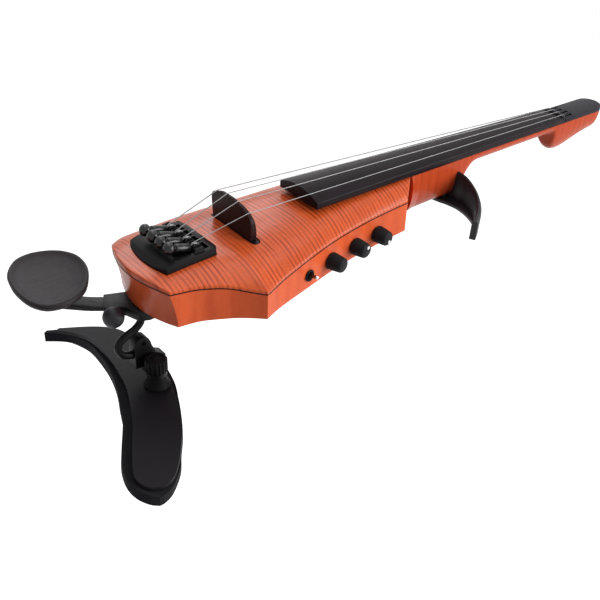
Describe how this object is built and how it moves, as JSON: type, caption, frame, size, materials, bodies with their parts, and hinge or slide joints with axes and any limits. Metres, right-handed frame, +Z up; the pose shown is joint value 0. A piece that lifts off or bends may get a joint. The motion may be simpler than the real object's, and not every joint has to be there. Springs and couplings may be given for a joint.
{
  "type": "electric viola",
  "caption": "Headless solid-body electric viola with bridge-end tuners, side controls, body rest, chin rest and an adjustable padded shoulder rest.",
  "frame": {"origin": "middle of the rear cover's outer face, on the plane of the flat back", "axes": "+X from the tail to the head, +Y to the bass side, +Z up out of the arched top"},
  "size_m": [0.5732, 0.2133, 0.1492],
  "materials": {
    "maple": "amber stained flamed maple, clear gloss",
    "ebony": "black, oiled satin",
    "black_metal": "satin black",
    "black_plastic": "satin black",
    "bright_metal": "plain metal",
    "board": "printed circuit board",
    "cell_case": "battery case",
    "string_metal": "wound string",
    "foam": "closed-cell foam, matte black"
  },
  "bodies": {
    "instrument": {"body": "maple", "binding_line": "ebony", "top_plate": "maple", "neck": "maple", "fingerboard": "ebony", "nut": "ebony", "head_plate": "ebony", "bridge": "ebony", "bridge_base": "ebony", "tuner_block": "black_metal", "rear_cover": "black_plastic", "preamp_board": "board", "battery": "cell_case", "output_jack": "bright_metal", "toggle_switch": "black_plastic", "body_rest": "black_plastic", "mounting_plate": "black_metal", "string_1": "string_metal", "string_2": "string_metal", "string_3": "string_metal", "string_4": "string_metal", "cover_screw_1": "bright_metal", "cover_screw_2": "bright_metal", "cover_screw_3": "bright_metal", "cover_screw_4": "bright_metal", "control_pot_1": "bright_metal", "control_pot_2": "bright_metal", "control_pot_3": "bright_metal", "mount_screw_1": "bright_metal", "mount_screw_2": "bright_metal", "body_rest_screw_1": "bright_metal", "body_rest_screw_2": "bright_metal"},
    "chin_rest_arm": {"rest_arm": "black_metal", "chin_rest": "black_plastic"},
    "clamp_knob": {"clamp_knob": "black_plastic"},
    "rest_rod": {"rest_rod": "black_metal"},
    "rod_clamp": {"rod_clamp": "black_metal"},
    "thumb_wheel": {"thumb_wheel": "black_metal"},
    "shoulder_rest": {"clamp_base": "black_metal", "shoulder_plate": "black_plastic", "shoulder_pad": "foam"},
    "toggle_lever": {"toggle_lever": "black_metal"},
    "tuner_knob_1": {"tuner_knob_1": "black_metal"},
    "string_drum_1": {"string_drum_1": "black_metal"},
    "tuner_knob_2": {"tuner_knob_2": "black_metal"},
    "string_drum_2": {"string_drum_2": "black_metal"},
    "tuner_knob_3": {"tuner_knob_3": "black_metal"},
    "string_drum_3": {"string_drum_3": "black_metal"},
    "tuner_knob_4": {"tuner_knob_4": "black_metal"},
    "string_drum_4": {"string_drum_4": "black_metal"},
    "control_knob_1": {"control_knob_1": "black_plastic"},
    "control_knob_2": {"control_knob_2": "black_plastic"},
    "control_knob_3": {"control_knob_3": "black_plastic"}
  },
  "joints": [
    {"name": "tuner_turn_1", "type": "hinge", "parent": "instrument", "child": "tuner_knob_1", "pos_m": [-0.13625, -0.015, 0.0482], "axis": [-0.9568, 0, 0.2908], "range_deg": [-720, 720]},
    {"name": "drum_turn_1", "type": "hinge", "parent": "instrument", "child": "string_drum_1", "pos_m": [-0.11585, -0.015, 0.042], "axis": [0, 1, 0], "range_deg": [-60, 60]},
    {"name": "tuner_turn_2", "type": "hinge", "parent": "instrument", "child": "tuner_knob_2", "pos_m": [-0.13625, -0.005, 0.0482], "axis": [-0.9568, 0, 0.2908], "range_deg": [-720, 720]},
    {"name": "drum_turn_2", "type": "hinge", "parent": "instrument", "child": "string_drum_2", "pos_m": [-0.11585, -0.005, 0.042], "axis": [0, 1, 0], "range_deg": [-60, 60]},
    {"name": "tuner_turn_3", "type": "hinge", "parent": "instrument", "child": "tuner_knob_3", "pos_m": [-0.13625, 0.005, 0.0482], "axis": [-0.9568, 0, 0.2908], "range_deg": [-720, 720]},
    {"name": "drum_turn_3", "type": "hinge", "parent": "instrument", "child": "string_drum_3", "pos_m": [-0.11585, 0.005, 0.042], "axis": [0, 1, 0], "range_deg": [-60, 60]},
    {"name": "tuner_turn_4", "type": "hinge", "parent": "instrument", "child": "tuner_knob_4", "pos_m": [-0.13625, 0.015, 0.0482], "axis": [-0.9568, 0, 0.2908], "range_deg": [-720, 720]},
    {"name": "drum_turn_4", "type": "hinge", "parent": "instrument", "child": "string_drum_4", "pos_m": [-0.11585, 0.015, 0.042], "axis": [0, 1, 0], "range_deg": [-60, 60]},
    {"name": "control_turn_1", "type": "hinge", "parent": "instrument", "child": "control_knob_1", "pos_m": [-0.01785, -0.04494, 0.011], "axis": [0.2215, -0.9752, 0], "range_deg": [-145, 145]},
    {"name": "control_turn_2", "type": "hinge", "parent": "instrument", "child": "control_knob_2", "pos_m": [0.01015, -0.03959, 0.011], "axis": [0.1589, -0.9873, 0], "range_deg": [-145, 145]},
    {"name": "control_turn_3", "type": "hinge", "parent": "instrument", "child": "control_knob_3", "pos_m": [0.03595, -0.0359, 0.011], "axis": [0.1177, -0.993, 0], "range_deg": [-145, 145]},
    {"name": "toggle_tilt", "type": "hinge", "parent": "instrument", "child": "toggle_lever", "pos_m": [-0.04384, -0.0498, 0.011], "axis": [0, 0, 1], "range_deg": [-10, 10]},
    {"name": "chin_rest_swing", "type": "hinge", "parent": "instrument", "child": "chin_rest_arm", "pos_m": [-0.16365, 0.0185, -0.004], "axis": [0, 0, 1], "range_deg": [-12, 12]},
    {"name": "clamp_knob_turn", "type": "hinge", "parent": "instrument", "child": "clamp_knob", "pos_m": [-0.17165, 0.00407, -0.0042], "axis": [-0.4848, -0.8746, 0], "range_deg": [-720, 0]},
    {"name": "rest_rod_turn", "type": "hinge", "parent": "instrument", "child": "rest_rod", "pos_m": [-0.15365, -0.0022, -0.008], "axis": [0, 0, 1], "range_deg": [-20, 20]},
    {"name": "rod_clamp_tilt", "type": "hinge", "parent": "rest_rod", "child": "rod_clamp", "pos_m": [-0.158, -0.0022, -0.037], "axis": [1, 0, 0], "range_deg": [-10, 10]},
    {"name": "shoulder_rest_swivel", "type": "hinge", "parent": "rod_clamp", "child": "shoulder_rest", "pos_m": [-0.15165, -0.0156, -0.05], "axis": [0, 0, 1], "range_deg": [-25, 25]},
    {"name": "thumb_wheel_turn", "type": "hinge", "parent": "shoulder_rest", "child": "thumb_wheel", "pos_m": [-0.15165, -0.0156, -0.042], "axis": [0, 0, 1], "range_deg": [0, 720]}
  ],
  "couplings": [
    {"joint": "drum_turn_1", "follows": "tuner_turn_1", "ratio": 0.083333},
    {"joint": "drum_turn_2", "follows": "tuner_turn_2", "ratio": 0.083333},
    {"joint": "drum_turn_3", "follows": "tuner_turn_3", "ratio": 0.083333},
    {"joint": "drum_turn_4", "follows": "tuner_turn_4", "ratio": 0.083333}
  ]
}
